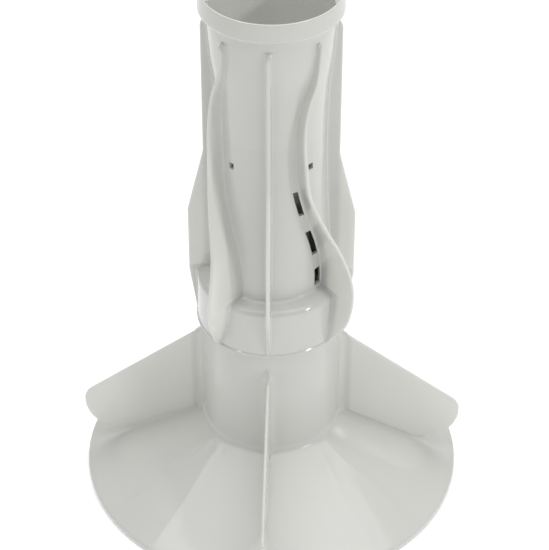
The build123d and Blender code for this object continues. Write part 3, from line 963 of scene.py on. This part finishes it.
# ---------------------------------------------------------------- barrel
@dataclass
class Barrel:
    """Collar, waisted tube and rim, with straight ribs, S-shaped vanes, slots and windows."""

    foot: float
    top: float
    seat: float = 205.0
    wall: float = 2.6
    collar_bore: float = 59.6
    collar_radius: float = 62.7
    lip: float = 1.05
    shoulder_edge: float = 209.5
    shoulder: float = 213.5
    tube_foot: float = 48.6
    waist: Point = (45.3, 394.0)
    waist_ease: float = 6.0
    flare: Point = (48.9, 425.0)
    tube_top: float = 51.7
    rim_height: float = 16.5
    rim_radius: float = 57.3
    rim_mouth: float = 55.7
    rim_bore: float = 54.3
    rim_floor: float = 3.0
    rib_half: float = 1.7
    rib_low: float = 69.3
    rib_high: float = 55.5
    rib_crown: Point = (17.5, 10.5)
    vane_half: float = 1.5
    vane_crown: Point = (16.0, 11.0)
    root_round: float = 1.8
    slot_width: float = 4.0
    slots: tuple[Point, ...] = ((304.9, 24.0), (261.9, 26.0), (225.6, 16.2))
    window_height: float = 336.0
    window_size: Point = (5.0, 6.0)
    window_turn: float = math.radians(47.0)

    def rim_foot(self) -> float:
        """Height of the rim's underside."""
        return self.top - self.rim_height

    def tube_radius(self, height: Array) -> Array:
        """Outer radius of the tube: a taper to the waist, then a flare that eases outwards."""
        narrow, middle = self.waist
        before, after = middle - self.waist_ease, middle + self.waist_ease
        spread = np.linspace(after, self.rim_foot(), 6)[1:]
        bends = ([middle, self.flare[1], self.rim_foot()], [narrow, self.flare[0], self.tube_top])
        places = [self.shoulder, before, after, *spread]
        radii = [self.tube_foot, narrow + 0.1, narrow + 0.8, *np.interp(spread, *bends)]
        return through(list(zip(places, radii)))(np.asarray(height, float))

    def rib_reach(self, height: Array) -> Array:
        """Reach of a straight rib.

        A ridge grows down the collar, the rib runs at full depth, slants in and runs on
        shallow, and a quarter round ends it below the rim.
        """
        crest, end = self.rim_foot() - self.rib_crown[0], self.rim_foot() - self.rib_crown[1]
        places = [self.foot, 208.0, 270.5, 328.5, crest]
        reaches = [self.collar_radius, self.rib_low, self.rib_low, self.rib_high, self.rib_high]
        plain = np.interp(height, places, reaches)
        return self.crown(plain, height, crest, end)

    def crown(self, reach: Array, height: Array, crest: float, end: float) -> Array:
        """Reach brought down to inside the tube along an ellipse between two heights."""
        share = np.clip((height - crest) / (end - crest), 0.0, 1.0)
        root = self.tube_radius(height) - 0.5
        return root + (reach - root) * np.sqrt(1.0 - share**2)

    def vane_laws(self) -> tuple[Law, Law, Law]:
        """Root's lean and edge's lean from the quarter line, in radians, and the reach."""
        run = self.rim_foot() - self.foot
        stations = [
            (0.0, 3.5, 3.5, 62.3),
            (5.0 / run, 5.0, 5.0, 67.0),
            (13.0 / run, 8.0, 7.5, 74.0),
            (24.0 / run, 11.5, 9.5, 79.7),
            (0.12, 15.0, 9.5, 83.2),
            (0.16, 16.0, 10.0, 84.8),
            (0.22, 17.0, 10.3, 83.7),
            (0.27, 15.0, 9.5, 79.8),
            (0.33, 9.5, 6.5, 73.7),
            (0.40, 0.5, 0.0, 67.4),
            (0.46, -6.0, -6.0, 62.9),
            (0.52, -11.0, -11.0, 59.6),
            (0.60, -13.3, -13.3, 58.1),
            (0.69, -14.5, -14.5, 57.0),
            (0.75, -13.0, -13.0, 55.9),
            (0.80, -9.3, -9.3, 55.4),
            (0.86, -2.0, -2.0, 55.3),
            (0.91, 0.6, 0.6, 55.4),
            (1.0, 1.8, 1.8, 55.5),
        ]
        table = np.array(stations)
        height = self.foot + run * table[:, 0]
        root, edge, reach = (through(list(zip(height, column))) for column in table[:, 1:].T)
        crest, end = self.rim_foot() - self.vane_crown[0], self.rim_foot() - self.vane_crown[1]

        def crowned(at: Array) -> Array:
            """Reach with the rounded top end."""
            return self.crown(reach(at), at, crest, end)

        return in_radians(root), in_radians(edge), crowned

    def slot_apron(self, lean: Law) -> Law:
        """Strip beside a vane's root that the slots are cut in.

        Every slot is cut in line with the rib before its vane, so the strip's width is the
        slot's width carried onto the round tube: the nearer its far end lies to the side,
        the wider it is.
        """
        foot = self.vane_half + self.root_round

        def law(height: Array) -> Array:
            """Width across the vane's own direction."""
            radius = self.tube_foot
            near = QUARTER_TURN / 2.0 + lean(height) - foot / radius
            far = np.arcsin(np.clip(np.sin(near) - self.slot_width / radius, -1.0, 1.0))
            return radius * np.sin(QUARTER_TURN / 2.0 + lean(height) - far) - foot

        return law

    def fences(self) -> list[Fence]:
        """Ribs and vanes in turn, anticlockwise from the front rib."""
        lean, edge_lean, reach = self.vane_laws()
        made = []
        for quarter in range(QUARTERS):
            bearing = FRONT + quarter * QUARTER_TURN
            line = bearing + QUARTER_TURN / 2.0
            made.append(Fence(level(bearing), self.rib_reach, self.rib_half, 2.2, 1.2, level(3.0)))
            made.append(
                Fence(
                    turn=turned_by(line, lean),
                    reach=reach,
                    half=self.vane_half,
                    root_round=self.root_round,
                    tip_round=1.3,
                    apron=self.slot_apron(lean),
                    edge_turn=turned_by(line, edge_lean),
                    foot_circle=self.tube_foot,
                )
            )
        return made

    def tube_heights(self) -> Array:
        """Heights of the tube's rows, with one at each end of every slot and window."""
        ends = [middle + side * length / 2.0 for middle, length in self.slots for side in (-1.0, 1.0)]
        ends += [self.window_height + side * self.window_size[1] / 2.0 for side in (-1.0, 1.0)]
        rib_crown = self.rim_foot() - np.array([17.5, 15.4, 13.7, 12.4, 11.5, 10.8, 10.5])
        vane_crown = self.rim_foot() - np.array([16.0, 14.4, 13.0, 11.9, 11.2, 11.0])
        grid = np.linspace(self.shoulder + 4.1, self.rim_foot() - 2.0, 66)
        fixed = np.concatenate([ends, rib_crown, vane_crown])
        clear = np.abs(grid[:, None] - fixed[None]).min(1) > 1.0
        return np.unique(np.concatenate([grid[clear], fixed]))

    def outer_rows(self, tube: Array) -> tuple[Array, Array]:
        """Outer section below the tube, and the rim's section with its socket.

        Args:
            tube: The tube's own rows as (radius, height).

        Returns:
            The rows before and after the tube's.
        """
        low = rounded(
            [
                (self.collar_bore, self.foot),
                (self.collar_radius + self.lip, self.foot),
                (self.collar_radius + self.lip, self.foot + 2.1),
                (self.collar_radius, self.foot + 3.2),
                (self.collar_radius, self.shoulder_edge),
                (self.tube_foot, self.shoulder),
                tuple(tube[0]),
            ],
            [0.0, 0.8, 0.9, 0.9, 6.0, 4.8, 0.0],
        )
        foot, floor = self.rim_foot(), self.rim_foot() + self.rim_floor
        rim = rounded(
            [
                tuple(tube[-1]),
                (self.tube_top, foot - 0.2),
                (self.rim_radius, foot + 0.2),
                (self.rim_radius, foot + 5.0),
                (self.rim_mouth, self.top),
                (self.rim_bore, self.top),
                (self.rim_bore, floor),
                (self.tube_top - self.wall, floor),
                (float(tube[-1, 0]) - self.wall, float(tube[-1, 1])),
            ],
            [0.0, 1.2, 2.5, 24.0, 0.65, 0.5, 1.5, 0.8, 0.0],
        )[1:-1]
        return spaced(low, 2.8)[:-1], spaced(rim, 3.0)

    def bore_rows(self, tube: Array) -> Array:
        """Rows inside, from the tube's foot down past the seat to the collar's foot."""
        chain = rounded(
            [
                (float(tube[0, 0]) - self.wall, float(tube[0, 1])),
                (self.tube_foot - self.wall, self.seat),
                (self.collar_bore, self.seat),
                (self.collar_bore, self.foot + 0.3),
            ],
            [0.0, 0.8, 0.8, 0.0],
            steps=3,
        )
        return spaced(chain, 9.0)[1:]

    def window_shares(self, fences: Sequence[Fence]) -> tuple[Array, Array, tuple[int, int]]:
        """Shares that divide the plain stretches, with a window's two sides among them.

        Returns:
            The shares before a vane, those after it, and the window's first and last column
            among the latter.
        """
        at = np.array([self.window_height])
        radius = self.tube_radius(at)
        start = fences[1].turn(at) + np.arcsin((fences[1].half + fences[1].root_round + fences[1].far_apron) / radius)
        foot = fences[0].half + fences[0].root_round + fences[0].apron(at)
        end = FRONT + QUARTER_TURN - np.arcsin(foot / radius)
        middle = FRONT + self.window_turn
        half = self.window_size[0] / 2.0 / radius
        sides = (np.array([middle - half[0], middle + half[0]]) - start) / (end - start)
        plain = np.linspace(0.0, 1.0, 15)[1:-1]
        clear = np.abs(plain[:, None] - sides[None]).min(1) > 0.03
        windowed = np.sort(np.concatenate([plain[clear], sides]))
        first, last = (int(i) for i in np.searchsorted(windowed, sides - 1e-9))
        return plain, windowed, (first, last)

    @staticmethod
    def rows_at(heights: Array, middle: float, length: float) -> tuple[int, int]:
        """Rows nearest to the lower and upper end of an opening."""
        low, high = (int(np.argmin(np.abs(heights - middle - side * length))) for side in (-0.5, 0.5))
        return low, high

    def build(self, plastic: bpy.types.Material) -> None:
        """Make the whole barrel as one closed grid, with its openings lined."""
        fences, heights = self.fences(), self.tube_heights()
        plain, windowed, window = self.window_shares(fences)
        body = FencedBody(fences, [plain, windowed] * QUARTERS)
        tube = np.stack([self.tube_radius(heights), heights], -1)
        low, rim = self.outer_rows(tube)
        outer = np.vstack([low, tube, rim])
        inner = np.vstack([tube[::-1] - np.array([self.wall, 0.0]), self.bore_rows(tube)])
        grid = np.concatenate(
            [body.columns(outer[:, 0], outer[:, 1], proud=True), body.columns(inner[:, 0], inner[:, 1], proud=False)]
        )
        quads = torus_quads(*grid.shape[:2])
        keep = np.ones(quads.shape[:2], bool)
        first, last = len(low), len(outer) + len(tube) - 1
        openings = []
        for quarter in range(QUARTERS):
            vane = body.first_column(2 * quarter + 1)
            for middle, length in self.slots:
                openings.append((self.rows_at(heights, middle, length), (vane, vane + 1)))
            gap = vane + body.fence_width()
            ends = self.rows_at(heights, self.window_height, self.window_size[1])
            openings.append((ends, (gap + window[0], gap + window[1])))
        linings = [cut_through(keep, first, last, rows, columns) for rows, columns in openings]
        obj = mesh_object("barrel_shell", grid, np.vstack([quads[keep], *linings]), crease=38.0)
        dress(obj, plastic, "base", "barrel_plastic", "barrel")
        log.info("%s: %d faces", obj.name, len(obj.data.polygons))


# ---------------------------------------------------------------- studio
@dataclass
class Studio:
    """Pale floor, soft lights and the camera."""

    eye: tuple[float, float, float] = (0.0594, -1.3397, 1.241)
    tilt: float = math.radians(52.22)
    swing: float = math.radians(2.54)
    lens: float = 131.4
    shift: tuple[float, float] = (0.0056, 0.002)
    sky: float = 0.26
    glow: float = 0.28

    def floor(self) -> None:
        """A wide matt sheet, gently uneven in tone, that glows enough to read as white."""
        graph = Graph("floor_paper")
        cloud = graph.noise(1.5, 2.0)
        graph.set(
            Base_Color=graph.blend(cloud, (0.93, 0.93, 0.93, 1.0), (0.96, 0.96, 0.96, 1.0)),
            Roughness=0.9,
            Emission_Color=(1.0, 1.0, 1.0, 1.0),
            Emission_Strength=self.glow,
        )
        reach = np.linspace(-6.0, 6.0, 5) / MM
        x, y = np.meshgrid(reach, reach)
        points = np.stack([x, y, np.full_like(x, -0.02)], -1)
        index = np.arange(25).reshape(5, 5)
        quads = np.stack([index[:-1, :-1], index[:-1, 1:], index[1:, 1:], index[1:, :-1]], -1).reshape(-1, 4)
        floor = mesh_object("floor", points, quads)
        floor.data.materials.append(graph.material)

    def lamp(self, name: str, place: Sequence[float], size: Sequence[float], power: float) -> None:
        """A rectangular softbox that faces the middle of the object."""
        data = bpy.data.lights.new(name, "AREA")
        data.shape = "RECTANGLE"
        data.size, data.size_y = size
        data.energy = power
        obj = bpy.data.objects.new(name, data)
        bpy.context.scene.collection.objects.link(obj)
        obj.location = place
        obj.rotation_euler = (Vector((0.0, 0.0, 0.22)) - Vector(place)).to_track_quat("-Z", "Y").to_euler()

    def build(self) -> None:
        """Floor, world, lamps and camera."""
        self.floor()
        scene = bpy.context.scene
        scene.view_settings.view_transform = "Standard"
        world = bpy.data.worlds.new("studio")
        world.use_nodes = True
        background = world.node_tree.nodes["Background"]
        background.inputs["Color"].default_value = (1.0, 1.0, 1.0, 1.0)
        background.inputs["Strength"].default_value = self.sky
        scene.world = world
        self.lamp("overhead_lamp", (0.0, 0.25, 2.4), (3.2, 3.2), 51.0)
        self.lamp("key_lamp", (1.7, -1.0, 1.5), (0.16, 0.16), 8.0)
        self.lamp("side_lamp", (-1.4, -1.3, 1.7), (0.16, 0.3), 1.6)
        camera = bpy.data.cameras.new("camera")
        camera.sensor_width = 36.0
        camera.lens = self.lens
        camera.shift_x, camera.shift_y = self.shift
        eye = bpy.data.objects.new("camera", camera)
        eye.location = self.eye
        eye.rotation_euler = (self.tilt, 0.0, self.swing)
        scene.collection.objects.link(eye)
        scene.camera = eye


def main() -> None:
    logging.basicConfig(level=logging.INFO, format="%(message)s")
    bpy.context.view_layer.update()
    base_box, barrel_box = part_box("base_moulding"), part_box("barrel")
    fin_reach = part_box("fin_right")[1][0] / MM

    base_plastic = GlossPlastic("base_gloss", roughness=0.2).make()
    barrel_plastic = GlossPlastic(
        "barrel_gloss",
        roughness=0.14,
        tower_shade_below=base_box[1][2],
        lit_through_beyond=0.0645,
        narrows_at=0.212,
        widens_at=0.456,
    ).make()
    fin_plastic = GlossPlastic("fin_gloss", roughness=0.24, lit_through_beyond=0.066).make()
    BaseMoulding(skirt_radius=base_box[1][0] / MM).build(base_plastic)
    Barrel(foot=barrel_box[0][2] / MM, top=barrel_box[1][2] / MM).build(barrel_plastic)
    for quarter, side in enumerate(("front", "right", "back", "left")):
        Fin(f"fin_{side}", f"{side}_fin", FRONT + quarter * QUARTER_TURN, fin_reach).build(fin_plastic)

    nylon = Moulded("sleeve_nylon", Tone.DARK_NYLON, Tone.WORN_NYLON, 0.5).make()
    rubber = Moulded("seal_rubber", Tone.BLACK_RUBBER, Tone.DUSTY_RUBBER, 0.65, 900.0).make()
    satin = Moulded("cap_satin", Tone.SOFT_GREY, Tone.COOL_WHITE, 0.42, 500.0).make()
    zinc = ZincPlate("bolt_zinc").make()
    finishes = {
        "drive_sleeve": nylon,
        "shaft_seal": rubber,
        "bolt_seal": rubber,
        "cap_ring": rubber,
        "bolt_washer": zinc,
        "drive_bolt": zinc,
        "inner_cap": satin,
    }
    for node, material in finishes.items():
        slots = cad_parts[node].data.materials
        slots.clear()
        slots.append(material)
        log.info("%s: finish %s", node, material.name)

    Studio().build()


if __name__ == "__main__":
    main()
